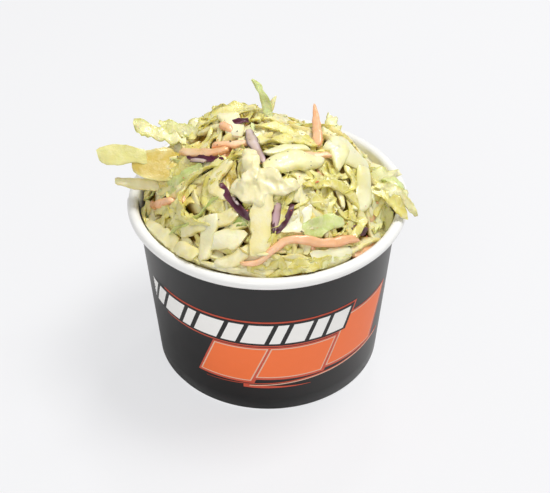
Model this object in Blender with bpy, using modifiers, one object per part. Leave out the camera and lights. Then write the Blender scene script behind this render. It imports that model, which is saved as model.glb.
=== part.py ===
"""Coleslaw heaped in a squat paper tub.

The tub is made as a paper food tub is: a tapered side wall of board, curled outwards into a round
lip at the top and folded inwards into a hem at the foot, and a separate floor disc whose downturned
flange is gripped between the wall and the hem. The coleslaw is one heap that fills the tub and
stands well above its lip, with the longest shreds poking out of its outline.

Metres, +Z up. The origin is on the table, under the middle of the whole object's outline. Seen from
the front, which is -Y, shreds reach further out on the left than on the right, so the tub's axis
stands a little to the right of the origin.
"""

import math

import bmesh
import bpy
from mathutils import Vector, noise

MM = 0.001

# Driving dimensions of the tub
TUB_HEIGHT = 62 * MM
LIP_DIAMETER = 90 * MM
FOOT_DIAMETER = 75 * MM
BOARD = 0.5 * MM
CURL_DIAMETER = 3.6 * MM
HEM_WIDTH = 1.8 * MM
HEM_HEIGHT = 6.0 * MM
FLOOR_HEIGHT = 7.5 * MM
FLANGE_FOOT = 1.2 * MM
CLEARANCE = 0.3 * MM
TUB_AXIS_X = 2.8 * MM

# Driving dimensions of the heap, above the tub's lip and out from its axis
CROWN_HEIGHT = 22.5 * MM
CROWN_FULLNESS = 2.5
SIDE_LEVEL = -5.5 * MM
FRONT_RISE = 6.0 * MM
BACK_RISE = 3.5 * MM
UNEVENNESS = 1.3 * MM
UNEVEN_SCALE = 8.0 * MM
UNEVEN_EASE = 8

# Rises and dips of the heap: x and y from the tub's axis, height, and spread, in millimetres
SWELLS = (
    (0, -19, 3.5, 6.0),  # the knot of stalk at the front
    (-23, 13, 4.5, 7.0),  # back left shoulder
    (-9, 12, 5.0, 6.0),  # crest at the back
    (21, 6, 4.0, 6.0),  # right shoulder
    (29, -3, 2.5, 6.0),  # lower right shoulder
    (9, 21, -6.0, 8.0),  # fall to the lip at the back
    (27, 17, -4.0, 7.0),  # fall to the lip at the back right
    (36, -15, -7.5, 4.5),  # pocket inside the wall, front right
    (-38, -8, -4.0, 4.5),  # pocket inside the wall, left
)

# Resolution of the meshes
TURN_STEPS = 64
CURL_STEPS = 12
BEND_STEPS = 3
HEAP_SPOKES = 64
HEAP_RINGS = 36
SHRED_CORNERS = 10
SHRED_STEPS = 4
MERGE = 0.01 * MM

# Shares of the heap's rings that make its top, then its side; the rest make its underside
TOP_SHARE = 0.72
SIDE_SHARE = 0.90

# Radii of the board's middle line
CURL_RADIUS = (CURL_DIAMETER - BOARD) / 2
LIP_MIDDLE = (LIP_DIAMETER - BOARD) / 2 - CURL_RADIUS
WALL_TOP = LIP_MIDDLE - CURL_RADIUS
CURL_CENTRE_Z = TUB_HEIGHT - BOARD / 2 - CURL_RADIUS
WALL_FOOT = (FOOT_DIAMETER - BOARD) / 2


def clear_scene():
    for obj in list(bpy.data.objects):
        bpy.data.objects.remove(obj, do_unlink=True)


def new_collection(name):
    collection = bpy.data.collections.new(name)
    bpy.context.scene.collection.children.link(collection)
    return collection


def material(name, colour, roughness):
    made = bpy.data.materials.new(name)
    made.use_nodes = True
    shader = made.node_tree.nodes["Principled BSDF"]
    shader.inputs["Base Color"].default_value = (*colour, 1.0)
    shader.inputs["Roughness"].default_value = roughness
    shader.inputs["Metallic"].default_value = 0.0
    return made


def wall_radius(z):
    """The radius of the wall board's middle line at height z."""
    return WALL_FOOT + (WALL_TOP - WALL_FOOT) * z / CURL_CENTRE_Z


def inner_radius(z):
    """The radius that the contents can fill at height z."""
    return wall_radius(z) - BOARD / 2 - CLEARANCE


def arc(centre_x, centre_z, radius, start, end, steps):
    """Points of an arc in the XZ plane, from start to end in degrees."""
    angles = [math.radians(start + (end - start) * i / steps) for i in range(steps + 1)]
    return [(centre_x + radius * math.cos(a), centre_z + radius * math.sin(a)) for a in angles]


def turned_board(name, profile, collection, board, on_axis=False):
    """A sheet of board with this middle line, as (radius, height), turned round Z."""
    mesh = bpy.data.meshes.new(name)
    edges = [(i, i + 1) for i in range(len(profile) - 1)]
    mesh.from_pydata([(r, 0, z) for r, z in profile], edges, [])
    obj = bpy.data.objects.new(name, mesh)
    collection.objects.link(obj)
    turn = obj.modifiers.new("turn", "SCREW")
    turn.steps = turn.render_steps = TURN_STEPS
    turn.use_normal_calculate = True
    turn.use_merge_vertices = on_axis
    turn.merge_threshold = MERGE
    thicken = obj.modifiers.new("board", "SOLIDIFY")
    thicken.thickness = BOARD
    thicken.offset = 0
    thicken.use_even_offset = True
    mesh.materials.append(board)
    return obj


def wall_profile():
    """Down the outside of the lip's curl, over it, down the wall, and up the folded hem."""
    curl = arc(LIP_MIDDLE, CURL_CENTRE_Z, CURL_RADIUS, -110, 180, CURL_STEPS)
    foot_z = BOARD / 2
    hem_radius = wall_radius(0) - HEM_WIDTH
    fold = [(wall_radius(foot_z), foot_z), (hem_radius, foot_z)]
    hem_top = [(hem_radius + wall_radius(HEM_HEIGHT) - wall_radius(0), HEM_HEIGHT)]
    return curl + fold + hem_top


def floor_profile():
    """From the axis out to the flange, which turns down between the wall and the hem."""
    gap_middle = wall_radius(FLOOR_HEIGHT) - HEM_WIDTH / 2
    bend = 1.0 * MM
    corner = arc(gap_middle - bend, FLOOR_HEIGHT - bend, bend, 90, 0, BEND_STEPS)
    flange_radius = gap_middle - wall_radius(FLOOR_HEIGHT) + wall_radius(FLANGE_FOOT)
    return [(0, FLOOR_HEIGHT)] + corner + [(flange_radius, FLANGE_FOOT)]


def bump(x, y, at_x, at_y, height, spread):
    """A smooth rise, or dip if height is negative, centred at a point given in millimetres."""
    away = (x / MM - at_x) ** 2 + (y / MM - at_y) ** 2
    return height * MM * math.exp(-away / (2 * spread * spread))


def fill_level(angle):
    """The heap's height at the wall: up at the lip in front, and lower at the sides."""
    front = max(0.0, -math.sin(angle)) ** 2
    back = max(0.0, math.sin(angle)) ** 2
    return TUB_HEIGHT + SIDE_LEVEL + FRONT_RISE * front + BACK_RISE * back


def heap_height(x, y):
    """The heap's upper surface over a point (x, y) measured from the tub's axis."""
    radius = math.hypot(x, y)
    share = min(1.0, radius / inner_radius(TUB_HEIGHT))
    edge = fill_level(math.atan2(y, x))
    crown = TUB_HEIGHT + CROWN_HEIGHT
    z = edge + (crown - edge) * (1 - share**CROWN_FULLNESS)
    for swell in SWELLS:
        z += bump(x, y, *swell)
    lump = noise.noise(Vector((x, y, 0)) / UNEVEN_SCALE)
    return z + UNEVENNESS * lump * (1 - share**UNEVEN_EASE)


def wall_level(angle):
    """The height at which the heap meets the wall, with its rises and dips."""
    radius = inner_radius(TUB_HEIGHT)
    return heap_height(radius * math.cos(angle), radius * math.sin(angle))


def place_heap_vertex(direction):
    """Moves a point of the unit sphere onto the heap: its top, its side, or its underside."""
    across = math.hypot(direction.x, direction.y)
    angle = math.atan2(direction.y, direction.x) if across > 0.0001 else 0.0
    down = math.acos(max(-1.0, min(1.0, direction.z))) / math.pi
    level = wall_level(angle)
    floor_z = FLOOR_HEIGHT + BOARD / 2 + CLEARANCE
    if down < TOP_SHARE:
        radius = inner_radius(level) * down / TOP_SHARE
        x, y = radius * math.cos(angle), radius * math.sin(angle)
        return Vector((x, y, heap_height(x, y)))
    if down < SIDE_SHARE:
        share = (down - TOP_SHARE) / (SIDE_SHARE - TOP_SHARE)
        z = level + (floor_z - level) * share
        return Vector((inner_radius(z) * math.cos(angle), inner_radius(z) * math.sin(angle), z))
    share = (1 - down) / (1 - SIDE_SHARE)
    radius = inner_radius(floor_z) * share
    return Vector((radius * math.cos(angle), radius * math.sin(angle), floor_z))


def slaw_body(collection):
    """The heap without its long shreds, as one closed mesh."""
    mesh = bpy.data.meshes.new("slaw_heap")
    shape = bmesh.new()
    bmesh.ops.create_uvsphere(shape, u_segments=HEAP_SPOKES, v_segments=HEAP_RINGS, radius=1.0)
    for vertex in shape.verts:
        vertex.co = place_heap_vertex(vertex.co.normalized())
    bmesh.ops.recalc_face_normals(shape, faces=shape.faces)
    shape.to_mesh(mesh)
    shape.free()
    obj = bpy.data.objects.new("slaw_heap", mesh)
    collection.objects.link(obj)
    return obj


# Long shreds that poke out of the heap: tip first, then points into the heap, in millimetres from
# the tub's axis, and the shred's width and thickness in millimetres.
PROUD_SHREDS = {
    "left_leaf": ([(-53.2, -2, 77.8), (-47, -2, 77.8), (-40, -2, 76.6), (-33, -1, 74), (-22, 2, 73)], 9.0, 2.4),
    "upper_left_leaf": ([(-42.8, 10, 82.6), (-36, 8, 79.4), (-28, 6, 78.2), (-18, 3, 76)], 6.5, 2.4),
    "lower_left_shred": ([(-48.5, -4, 68.8), (-42, -4, 67.8), (-35, -3, 66.5), (-26, -2, 64)], 3.6, 2.2),
    "standing_sliver": ([(-4.7, 12, 96.8), (-3, 12, 93.5), (-1, 11, 88), (0.5, 9, 80)], 3.0, 2.0),
    "standing_carrot": ([(14.8, 11, 87.6), (15, 6, 85.8), (15.2, 0, 84.8), (15.2, -5, 82.5)], 3.2, 3.0),
    "back_right_leaf": ([(20.2, 12.5, 83.2), (20, 9, 82), (18.5, 5, 80.5), (15, 0, 79)], 6.0, 2.2),
    "right_leaf": ([(42.3, 3, 67.8), (37, 0, 68.5), (30, -2, 69), (22, -2, 69)], 8.0, 2.4),
    "right_frill": ([(46.6, -12.5, 61.8), (43.6, -11, 64.8), (37, -9, 68), (26, -5, 67)], 6.5, 2.4),
}
TIP_SHARE = 0.6


def flat_profile(width, thickness, helpers):
    """A flattened ring that a shred's path carries along as its cross-section."""
    curve = bpy.data.curves.new("shred_profile", "CURVE")
    curve.dimensions = "2D"
    ring = curve.splines.new("POLY")
    ring.points.add(SHRED_CORNERS - 1)
    for i, point in enumerate(ring.points):
        a = 2 * math.pi * i / SHRED_CORNERS
        point.co = (width / 2 * math.cos(a), thickness / 2 * math.sin(a), 0, 1)
    ring.use_cyclic_u = True
    obj = bpy.data.objects.new("shred_profile", curve)
    helpers.objects.link(obj)
    obj.hide_render = True
    return obj


def shred_mesh(name, points, width, thickness, helpers):
    """A closed mesh of one flat shred that runs smoothly through the points."""
    profile = flat_profile(width * MM, thickness * MM, helpers)
    curve = bpy.data.curves.new(name, "CURVE")
    curve.dimensions = "3D"
    curve.twist_mode = "Z_UP"
    curve.bevel_mode = "OBJECT"
    curve.bevel_object = profile
    curve.use_fill_caps = True
    path = curve.splines.new("NURBS")
    path.points.add(len(points) - 1)
    for point, place in zip(path.points, points):
        point.co = (*(Vector(place) * MM), 1)
    path.points[0].radius = TIP_SHARE
    path.order_u = 3
    path.use_endpoint_u = True
    path.resolution_u = SHRED_STEPS
    obj = bpy.data.objects.new(name, curve)
    helpers.objects.link(obj)
    evaluated = obj.evaluated_get(bpy.context.evaluated_depsgraph_get())
    mesh = bpy.data.meshes.new_from_object(evaluated)
    bpy.data.objects.remove(obj)
    bpy.data.objects.remove(profile)
    shape = bmesh.new()
    shape.from_mesh(mesh)
    bmesh.ops.remove_doubles(shape, verts=shape.verts, dist=MERGE)
    bmesh.ops.recalc_face_normals(shape, faces=shape.faces)
    shape.to_mesh(mesh)
    shape.free()
    made = bpy.data.objects.new(name, mesh)
    made.hide_render = True
    made.display_type = "WIRE"
    helpers.objects.link(made)
    return made


def add_proud_shreds(heap, helpers):
    """Joins each long shred to the heap, so that the heap stays one solid."""
    for name, (points, width, thickness) in PROUD_SHREDS.items():
        shred = shred_mesh(name, points, width, thickness, helpers)
        join = heap.modifiers.new(name, "BOOLEAN")
        join.operation = "UNION"
        join.object = shred


def shade(obj):
    """Smooth shading, with edges sharper than 40 degrees kept crisp."""
    obj.data.shade_smooth()
    obj.data.set_sharp_from_angle(angle=math.radians(40))


def build():
    clear_scene()
    parts = new_collection("coleslaw_tub")
    helpers = new_collection("helpers")
    board = material("tub_board", (0.035, 0.035, 0.038), 0.45)
    white_board = material("white_board", (0.86, 0.86, 0.85), 0.4)
    cabbage = material("coleslaw", (0.76, 0.72, 0.38), 0.35)

    axis = bpy.data.objects.new("tub_axis", None)
    axis.location.x = TUB_AXIS_X
    parts.objects.link(axis)

    wall = turned_board("tub_wall", wall_profile(), parts, board)
    floor = turned_board("tub_floor", floor_profile(), parts, white_board, on_axis=True)
    heap = slaw_body(parts)
    heap.data.materials.append(cabbage)
    add_proud_shreds(heap, helpers)
    for obj in (wall, floor, heap):
        shade(obj)
        obj.parent = axis
    for obj in helpers.objects:
        obj.parent = axis


build()
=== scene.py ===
# %% [markdown]
# # Coleslaw heaped in a paper tub
# The imported model is the frame: the tub's wall, its floor disc and one plain solid for the heap.
# Everything below is built around it, in metres, with +Z up and the front towards -Y. The finished
# piece has to stay inside it.

import math
import random
from types import SimpleNamespace

import bmesh
import bpy
import numpy as np
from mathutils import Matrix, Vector, noise
from mathutils.bvhtree import BVHTree


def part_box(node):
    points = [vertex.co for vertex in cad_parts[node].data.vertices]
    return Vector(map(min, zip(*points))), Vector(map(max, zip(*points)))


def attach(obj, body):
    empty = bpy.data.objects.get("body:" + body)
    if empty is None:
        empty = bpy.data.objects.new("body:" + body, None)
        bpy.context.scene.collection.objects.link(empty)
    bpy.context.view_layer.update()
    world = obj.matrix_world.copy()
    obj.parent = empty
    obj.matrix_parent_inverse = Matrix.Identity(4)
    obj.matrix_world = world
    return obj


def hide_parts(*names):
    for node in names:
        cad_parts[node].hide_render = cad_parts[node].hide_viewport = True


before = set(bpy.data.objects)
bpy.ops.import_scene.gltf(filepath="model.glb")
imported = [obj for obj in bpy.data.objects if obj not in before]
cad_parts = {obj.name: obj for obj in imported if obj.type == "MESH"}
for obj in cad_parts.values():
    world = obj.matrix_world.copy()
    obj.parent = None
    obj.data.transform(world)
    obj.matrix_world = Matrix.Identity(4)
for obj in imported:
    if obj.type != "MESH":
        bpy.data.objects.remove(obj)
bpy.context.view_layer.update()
MM = 0.001

# %% Places read from the frame
wall_low, wall_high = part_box("tub_wall")
AXIS_X = (wall_low.x + wall_high.x) / 2
AXIS_Y = (wall_low.y + wall_high.y) / 2
LIP_RADIUS = (wall_high.x - wall_low.x) / 2
LIP_TOP = wall_high.z
print(f"tub axis x {AXIS_X / MM:.2f} mm, lip {2 * LIP_RADIUS / MM:.1f} mm across")
print(f"lip {LIP_TOP / MM:.1f} mm high")

# %% [markdown]
# ## Camera and studio
# The camera looks down on the tub from the front, at about forty degrees, from arm's length with a
# longish lens, so the rim is a gentle oval and the wall narrows towards the foot.

# %% Camera
CAMERA_AIM = Vector((4.97, 0, 39.17)) * MM
CAMERA_DISTANCE = 405 * MM
CAMERA_ELEVATION = math.radians(39.26)
camera_data = bpy.data.cameras.new("camera")
camera_data.lens = 79.5
camera_data.sensor_width = 36
camera = bpy.data.objects.new("camera", camera_data)
towards_camera = Vector((0, -math.cos(CAMERA_ELEVATION), math.sin(CAMERA_ELEVATION)))
camera.location = CAMERA_AIM + towards_camera * CAMERA_DISTANCE
camera.rotation_mode = "QUATERNION"
camera.rotation_quaternion = (-towards_camera).to_track_quat("-Z", "Y")
bpy.context.scene.collection.objects.link(camera)
bpy.context.scene.camera = camera
print("camera at", tuple(round(c / MM) for c in camera.location), "mm")

# %% [markdown]
# The table is a pale sweep that is nearly white. Its own colour would go grey away from the lamps,
# so the part of it that the camera or a glossy surface sees is mixed with a little plain light,
# while the soft shadow at the tub's foot stays.

# %% Node helper
def node(tree, kind, inputs=None, **settings):
    """Adds one shader node, with settings as attributes and inputs as values or links."""
    made = tree.nodes.new(kind)
    for key, value in settings.items():
        setattr(made, key, value)
    for key, value in (inputs or {}).items():
        if isinstance(value, bpy.types.NodeSocket):
            tree.links.new(value, made.inputs[key])
        else:
            made.inputs[key].default_value = value
    return made


def new_material(name):
    """An empty node material and its tree."""
    made = bpy.data.materials.new(name)
    made.use_nodes = True
    made.node_tree.nodes.clear()
    return made, made.node_tree


def finish_material(tree, shader):
    """Links the shader to the material's output."""
    node(tree, "ShaderNodeOutputMaterial", {"Surface": shader})


def noise_value(tree, place, scale, detail, **inputs):
    """Soft noise of about this many cells a metre."""
    settings = {"Vector": place, "Scale": scale, "Detail": detail, **inputs}
    return node(tree, "ShaderNodeTexNoise", settings).outputs["Fac"]


def remap(tree, value, before, after):
    """A value stretched from one range to another and kept inside it."""
    inputs = {"Value": value, 1: before[0], 2: before[1], 3: after[0], 4: after[1]}
    return node(tree, "ShaderNodeMapRange", inputs).outputs[0]


def mix_colours(tree, share, first, second):
    """The first colour, with a share of the second."""
    inputs = {"Factor": share, 6: first, 7: second}
    return node(tree, "ShaderNodeMix", inputs, data_type="RGBA").outputs[2]


# %% Mesh helpers
def mesh_object(name, verts, faces):
    """A new object in the scene, with the given corners and faces."""
    mesh = bpy.data.meshes.new(name)
    mesh.from_pydata(verts, [], faces)
    obj = bpy.data.objects.new(name, mesh)
    bpy.context.scene.collection.objects.link(obj)
    return obj


def grid_faces(rings, corners, start=0, close_rings=False, close_corners=True):
    """Quads between neighbouring rings of corners, which are numbered ring after ring."""
    faces = []
    for i in range(rings if close_rings else rings - 1):
        here, there = start + i * corners, start + (i + 1) % rings * corners
        for j in range(corners if close_corners else corners - 1):
            k = (j + 1) % corners
            faces.append((here + j, there + j, there + k, here + k))
    return faces


# %% Floor
FLOOR_SIZE = 6.0
FLOOR_COLOUR = (0.78, 0.785, 0.805, 1)
FLOOR_GLOW = (0.918, 0.921, 0.940, 1)
FLOOR_LIFT = 0.70
FLOOR_DROP = 0.05 * MM
half = FLOOR_SIZE / 2
corners = [(-half, -half, 0), (half, -half, 0), (half, half, 0), (-half, half, 0)]
floor = mesh_object("floor", corners, [(0, 1, 2, 3)])
floor.location.z = -FLOOR_DROP
floor_material, tree = new_material("pale_sweep")
plain = node(tree, "ShaderNodeBsdfDiffuse", {"Color": FLOOR_COLOUR})
glow = node(tree, "ShaderNodeEmission", {"Color": FLOOR_GLOW, "Strength": 1.0})
seen = node(tree, "ShaderNodeLightPath").outputs["Is Camera Ray"]
share = node(tree, "ShaderNodeMath", {0: seen, 1: FLOOR_LIFT}, operation="MULTIPLY")
inputs = {0: share.outputs[0], 1: plain.outputs[0], 2: glow.outputs[0]}
finish_material(tree, node(tree, "ShaderNodeMixShader", inputs).outputs[0])
floor.data.materials.append(floor_material)

# %% World
AMBIENT = (1.0, 0.985, 0.955, 1)
AMBIENT_STRENGTH = 0.31
BACKDROP = (0.885, 0.888, 0.905, 1)
world = bpy.data.worlds.new("studio")
world.use_nodes = True
tree = world.node_tree
tree.nodes.clear()
rays = node(tree, "ShaderNodeLightPath").outputs
ambient = node(tree, "ShaderNodeBackground", {"Color": AMBIENT, "Strength": AMBIENT_STRENGTH})
backdrop = node(tree, "ShaderNodeBackground", {"Color": BACKDROP, "Strength": 1.0})
straight = {0: rays["Is Camera Ray"], 1: rays["Is Transmission Ray"]}
seen = node(tree, "ShaderNodeMath", straight, operation="MAXIMUM")
inputs = {0: seen.outputs[0], 1: ambient.outputs[0], 2: backdrop.outputs[0]}
mixed = node(tree, "ShaderNodeMixShader", inputs)
node(tree, "ShaderNodeOutputWorld", {"Surface": mixed.outputs[0]})
bpy.context.scene.world = world


# %% Lamps
WARM_WHITE = (1.0, 0.985, 0.96)
LAMP_AIM = Vector((AXIS_X, 0, 60 * MM))


def softbox(name, place, size, watts, colour=(1, 1, 1)):
    """A square lamp that faces the heap."""
    lamp = bpy.data.lights.new(name, "AREA")
    lamp.size = size
    lamp.energy = watts
    lamp.color = colour
    obj = bpy.data.objects.new(name, lamp)
    obj.location = place
    obj.rotation_mode = "QUATERNION"
    obj.rotation_quaternion = (LAMP_AIM - Vector(place)).to_track_quat("-Z", "Y")
    bpy.context.scene.collection.objects.link(obj)
    print(f"lamp {name}: {watts} W, {size * 100:.0f} cm")


softbox("key_lamp", (0.40, 0.15, 1.10), 0.42, 9.9, WARM_WHITE)
softbox("glint_lamp", (0.16, 0.55, 0.90), 0.12, 1.2)
softbox("fill_lamp", (-0.30, -1.00, 0.75), 0.80, 5.7, WARM_WHITE)
bpy.context.scene.view_settings.view_transform = "Standard"

# %% [markdown]
# ## The paper tub's wall
# The wall is one piece of coated board, wrapped to a cone. Its top edge is rolled outwards into a
# lip, its foot is folded in over the floor's flange, and its two ends overlap in a glued side seam.
# A turned profile alone has no seam, so the rings are made in code: each ring is the profile at one
# angle, pushed out by the height of the overlap there.

# %% Wall dimensions
BOARD = 0.5 * MM
CURL_DIAMETER = 3.6 * MM
FOOT_DIAMETER = 75 * MM
HEM_WIDTH = 1.8 * MM
HEM_HEIGHT = 6.0 * MM
CURL_RADIUS = (CURL_DIAMETER - BOARD) / 2
LIP_MIDDLE = LIP_RADIUS - BOARD / 2 - CURL_RADIUS
WALL_TOP = LIP_MIDDLE - CURL_RADIUS
CURL_CENTRE_Z = LIP_TOP - BOARD / 2 - CURL_RADIUS
WALL_FOOT = (FOOT_DIAMETER - BOARD) / 2
FOLD = 0.6 * MM


def wall_radius(z):
    """The radius of the board's middle line at height z."""
    return WALL_FOOT + (WALL_TOP - WALL_FOOT) * z / CURL_CENTRE_Z


# %% The board's middle line, from the tucked end of the curl to the top of the hem
CURL_START, CURL_END, CURL_POINTS = -110, 180, 26
WALL_STEPS = 12
foot_z = BOARD / 2
middle = []
for i in range(CURL_POINTS + 1):
    angle = math.radians(CURL_START + (CURL_END - CURL_START) * i / CURL_POINTS)
    out, up = CURL_RADIUS * math.cos(angle), CURL_RADIUS * math.sin(angle)
    middle.append((LIP_MIDDLE + out, CURL_CENTRE_Z + up))
for i in range(1, WALL_STEPS + 1):
    z = CURL_CENTRE_Z + (foot_z + FOLD - CURL_CENTRE_Z) * i / WALL_STEPS
    middle.append((wall_radius(z), z))
hem_radius = wall_radius(0) - HEM_WIDTH
middle += [(wall_radius(0) - BOARD, foot_z), (hem_radius + BOARD, foot_z), (hem_radius, foot_z + FOLD)]
middle.append((hem_radius + wall_radius(HEM_HEIGHT) - wall_radius(0), HEM_HEIGHT))


def offset_line(points, distance):
    """The polyline moved sideways, to the left of its own direction."""
    p = np.array(points)
    along = np.gradient(p, axis=0)
    along /= np.linalg.norm(along, axis=1)[:, None]
    return p + distance * np.stack([-along[:, 1], along[:, 0]], axis=1)


outer = offset_line(middle, BOARD / 2)
inner = offset_line(middle, -BOARD / 2)
board_loop = np.concatenate([outer, inner[::-1]])
print("wall profile has", len(board_loop), "points")

# %% The side seam
SEAM_ANGLE = math.radians(183)
SEAM_LAP = 9 * MM
SEAM_HEIGHT = 0.35 * MM


def around_axis(r, angle, z):
    """The point at a radius and an angle from the tub's axis."""
    return (AXIS_X + r * math.cos(angle), AXIS_Y + r * math.sin(angle), z)


def seam_rise(angle):
    """How far the overlap lifts the wall at this angle: sharp at the lap's edge, then easing away."""
    behind = ((angle - SEAM_ANGLE) % (2 * math.pi)) * WALL_TOP
    if behind < SEAM_LAP:
        return SEAM_HEIGHT
    return SEAM_HEIGHT * max(0.0, 1 - (behind - SEAM_LAP) / (2 * SEAM_LAP))


# %% Build the wall
TURNS = 256
SEAM_SLIT = math.radians(0.25)
even_angles = [2 * math.pi * i / TURNS for i in range(TURNS)]
ring_angles = sorted(even_angles + [SEAM_ANGLE - SEAM_SLIT, SEAM_ANGLE])
verts = []
for angle in ring_angles:
    rise = seam_rise(angle)
    for r, z in board_loop:
        verts.append(around_axis(r + rise, angle, z))
faces = grid_faces(len(ring_angles), len(board_loop), close_rings=True)
wall = mesh_object("paper_wall", verts, faces)


def tidy_normals(mesh, sharp_degrees=40):
    """Points every face outwards and shades the mesh smooth between its sharp edges."""
    shape = bmesh.new()
    shape.from_mesh(mesh)
    bmesh.ops.recalc_face_normals(shape, faces=shape.faces)
    shape.to_mesh(mesh)
    shape.free()
    mesh.shade_smooth()
    mesh.set_sharp_from_angle(angle=math.radians(sharp_degrees))


tidy_normals(wall.data)
print("paper wall:", len(wall.data.polygons), "faces")

# %% [markdown]
# The board is white, and its outside is printed black up to just under the lip. The print is a
# satin varnish: it stays nearly black where it faces the viewer and turns grey towards both sides,
# where it mirrors the pale studio. The edge of the ink is placed by the face's own position, so it
# belongs to the wall's faces and not to a texture.

# %% Board materials
MOTTLE_SCALE = 260
UNEVEN_SCALE = 45


def board_material(name, colour, roughness, coat, fibre=0.02, specular=0.5):
    """Coated board: a faint mottle in its colour and gloss, and the slight unevenness of paper."""
    made, tree = new_material(name)
    place = node(tree, "ShaderNodeTexCoord").outputs["Object"]
    mottle = noise_value(tree, place, MOTTLE_SCALE, 4)
    uneven = noise_value(tree, place, UNEVEN_SCALE, 2)
    low = [c * (1 - fibre) for c in colour] + [1]
    high = [min(1, c * (1 + fibre)) for c in colour] + [1]
    gloss = remap(tree, uneven, (0, 1), (roughness * 0.88, roughness * 1.12))
    bump = node(tree, "ShaderNodeBump", {"Height": uneven, "Strength": 0.12, "Distance": 0.0006})
    shader = node(tree, "ShaderNodeBsdfPrincipled", {
        "Base Color": mix_colours(tree, mottle, low, high), "Roughness": gloss,
        "Normal": bump.outputs[0], "Coat Weight": coat, "Coat Roughness": 0.22,
        "Specular IOR Level": specular})
    finish_material(tree, shader.outputs[0])
    return made


white_board = board_material("white_board", (0.88, 0.885, 0.88), 0.36, 0.25)
black_print = board_material("black_print", (0.011, 0.011, 0.012), 0.36, 0.0, fibre=0.12, specular=0.36)

# %% Ink on the wall's outer faces
INK_TOP = CURL_CENTRE_Z - 1.9 * MM
INK_SKIN = 0.05 * MM
wall.data.materials.append(white_board)
wall.data.materials.append(black_print)
for face in wall.data.polygons:
    centre = face.center
    radius = math.hypot(centre.x - AXIS_X, centre.y - AXIS_Y)
    outside = radius > wall_radius(centre.z) - INK_SKIN
    face.material_index = int(outside and centre.z < INK_TOP)
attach(wall, "root")
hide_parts("tub_wall")

# %% Floor disc
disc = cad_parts["tub_floor"]
disc.data.materials.clear()
disc.data.materials.append(white_board)

# %% [markdown]
# ## The print
# The front carries a band of white slanted blocks with an orange edge, and under it a lower field
# of orange slanted blocks with a pale outline and a long point beneath. They are plain
# shapes, not letters. Each is a film of ink wrapped on the cone: a patch given by its
# left and right ends around the wall and its lower and upper edges in height, laid in thin layers.

# %% Ink patches
INK_LAYER = 0.035 * MM
PATCH_STEP = 1.2
PATCH_ROWS = 3
SLANT = 0.36
THINNEST = 0.02


def on_wall(around, height, proud):
    """A point of the printed face: around the wall from its front, at a height, just above the board."""
    radius = wall_radius(height) + BOARD / 2 + proud
    angle = around / wall_radius(height)
    return (AXIS_X + radius * math.sin(angle), AXIS_Y - radius * math.cos(angle), height)


def patch(left, right, low, high, layer, slant=SLANT, inset=0.0):
    """One ink shape in millimetres. low and high are heights, or (at left end, at right end)."""
    low = low if isinstance(low, tuple) else (low, low)
    high = high if isinstance(high, tuple) else (high, high)
    verts = []
    columns = max(2, math.ceil((right - left) / PATCH_STEP))
    for i in range(columns + 1):
        a = i / columns
        bottom = low[0] + (low[1] - low[0]) * a + inset
        top = max(bottom + THINNEST, high[0] + (high[1] - high[0]) * a - inset)
        for j in range(PATCH_ROWS + 1):
            z = bottom + (top - bottom) * j / PATCH_ROWS
            s = left + inset + (right - left - 2 * inset) * a + slant * (z - low[0])
            verts.append(on_wall(s * MM, z * MM, layer * INK_LAYER))
    return verts, grid_faces(columns + 1, PATCH_ROWS + 1, close_corners=False)


def ink_piece(name, patches, colour):
    """Joins patches of one ink colour into one piece, with a real thickness."""
    verts, faces = [], []
    for more_verts, more_faces in patches:
        base = len(verts)
        verts += more_verts
        faces += [tuple(base + v for v in face) for face in more_faces]
    obj = mesh_object(name, verts, faces)
    film = obj.modifiers.new("film", "SOLIDIFY")
    film.thickness = INK_LAYER * 0.8
    film.offset = 1
    obj.data.materials.append(board_material(name, colour, 0.45, 0.0, specular=0.3))
    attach(obj, "root")
    print(f"{name}: {len(patches)} patches")


# %% White band: slanted blocks of uneven width
WHITE_LOW, WHITE_HIGH = 32.6, 40.8
GAP = 1.5
EDGE, BLACK_EDGE = 1.5, 0.9
block_widths = [5.0, 3.8, 7.2, 3.2, 8.2, 4.8, 7.6, 3.4, 6.2, 4.2, 6.4]
edge_patches, black_patches, white_patches = [], [], []
left = -50.0
for width in block_widths:
    right = left + width
    edge_patches.append(patch(left - EDGE, right + EDGE, WHITE_LOW - EDGE, WHITE_HIGH + EDGE, 1))
    black_patches.append(patch(left - BLACK_EDGE, right + BLACK_EDGE, WHITE_LOW - BLACK_EDGE,
                               WHITE_HIGH + BLACK_EDGE, 4.4))
    white_patches.append(patch(left, right, WHITE_LOW, WHITE_HIGH, 5.6))
    left = right + GAP

# %% Orange field: three large slanted blocks, taller towards the right, and a long point
ORANGE_BLOCKS = ((-23.0, -5.5, 14.6, 30.2), (-4.0, 17.5, 16.4, 30.2), (19.0, 39.0, 17.6, 37.5))
orange_patches, pale_patches = [], []
for left, right, low, high in ORANGE_BLOCKS:
    edge_patches.append(patch(left - 1.0, right + 1.0, low - 1.0, high + 0.6, 1))
    pale_patches.append(patch(left, right, low, high, 2.2))
    orange_patches.append(patch(left, right, low, high, 3.4, inset=0.45))
edge_patches.append(patch(-21.0, 46.0, (12.2, 16.0), (12.3, 17.0), 1, slant=0))
edge_patches.append(patch(-8.0, 14.0, (11.3, 11.5), (12.9, 11.6), 1, slant=0))
pale_patches.append(patch(-6.0, 44.0, (12.2, 16.3), (12.6, 16.7), 2.2, slant=0))

ink_piece("print_edge_red", edge_patches, (0.66, 0.10, 0.055))
ink_piece("print_pale_line", pale_patches, (0.86, 0.56, 0.42))
ink_piece("print_black_gap", black_patches, (0.016, 0.016, 0.017))
ink_piece("print_orange_blocks", orange_patches, (0.98, 0.20, 0.055))
ink_piece("print_white_blocks", white_patches, (0.93, 0.93, 0.92))

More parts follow.
